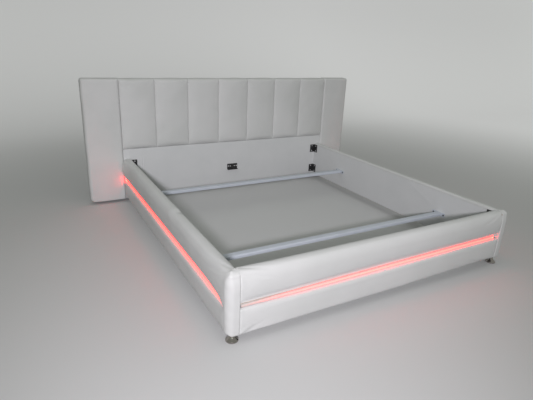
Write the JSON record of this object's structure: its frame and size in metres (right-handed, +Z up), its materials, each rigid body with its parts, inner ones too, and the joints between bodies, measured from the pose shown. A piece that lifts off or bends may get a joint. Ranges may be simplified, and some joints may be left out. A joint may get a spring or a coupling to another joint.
{
  "type": "upholstered double bed frame",
  "caption": "Wide double bed frame in white faux leather with a channelled, winged headboard, padded rails with lit grooves, steel crossbars and chrome feet.",
  "frame": {"origin": "middle of the footprint on the floor", "axes": "+X across the bed, +Y from the footboard to the headboard, +Z up"},
  "size_m": [2.4868, 2.1426, 0.993],
  "materials": {
    "leather": "white faux leather over foam, fine grain, satin",
    "lining": "smooth light grey lining stretched over board",
    "back_cloth": "black non-woven cloth on thin board",
    "chipboard": "raw chipboard",
    "pine": "planed softwood",
    "black_steel": "black lacquered pressed steel",
    "white_steel": "white powder coat",
    "chrome": "polished chrome",
    "zinc": "zinc plated",
    "aluminium": "extruded channel",
    "light": "red glowing light strip under a frosted cover",
    "black_plastic": "moulded black plastic"
  },
  "bodies": {
    "bed_frame": {"channel_pad_1": "leather", "channel_pad_2": "leather", "channel_pad_3": "leather", "channel_pad_4": "leather", "channel_pad_5": "leather", "channel_pad_6": "leather", "channel_pad_7": "leather", "wing_pad_left": "leather", "wing_pad_right": "leather", "left_rail_upper_pad": "leather", "left_rail_lower_pad": "leather", "left_corner_pad": "leather", "right_rail_upper_pad": "leather", "right_rail_lower_pad": "leather", "right_corner_pad": "leather", "footboard_upper_pad": "leather", "footboard_lower_pad": "leather", "headboard_lower_cover": "lining", "left_rail_lining": "lining", "right_rail_lining": "lining", "footboard_lining": "lining", "headboard_back_lining": "back_cloth", "headboard_face_board": "chipboard", "left_rail_core": "chipboard", "right_rail_core": "chipboard", "footboard_core": "chipboard", "headboard_frame_top": "pine", "headboard_frame_bottom": "pine", "headboard_stile_1": "pine", "headboard_stile_2": "pine", "headboard_stile_3": "pine", "headboard_stile_4": "pine", "bracket_head_left_upper": "black_steel", "bracket_head_left_lower": "black_steel", "bracket_head_right_upper": "black_steel", "bracket_head_right_lower": "black_steel", "bracket_foot_left_upper": "black_steel", "bracket_foot_left_lower": "black_steel", "bracket_foot_right_upper": "black_steel", "bracket_foot_right_lower": "black_steel", "beam_hanger_head": "black_steel", "beam_hanger_foot": "black_steel", "crossbar_head": "white_steel", "crossbar_foot": "white_steel", "left_foot_insert": "zinc", "right_foot_insert": "zinc", "left_rail_light_profile": "aluminium", "right_rail_light_profile": "aluminium", "footboard_light_profile": "aluminium", "left_rail_light_strip": "light", "right_rail_light_strip": "light", "footboard_light_strip": "light", "headboard_glide_1": "black_plastic", "headboard_glide_2": "black_plastic", "headboard_glide_3": "black_plastic", "headboard_glide_4": "black_plastic", "light_controller": "black_plastic", "light_lead": "black_plastic"},
    "left_foot_body": {"left_foot": "chrome"},
    "right_foot_body": {"right_foot": "chrome"}
  },
  "joints": [
    {"name": "left_foot_level", "type": "slide", "parent": "bed_frame", "child": "left_foot_body", "axis": [0, 0, -1], "range_m": [0, 0.008]},
    {"name": "right_foot_level", "type": "slide", "parent": "bed_frame", "child": "right_foot_body", "axis": [0, 0, -1], "range_m": [0, 0.008]}
  ]
}
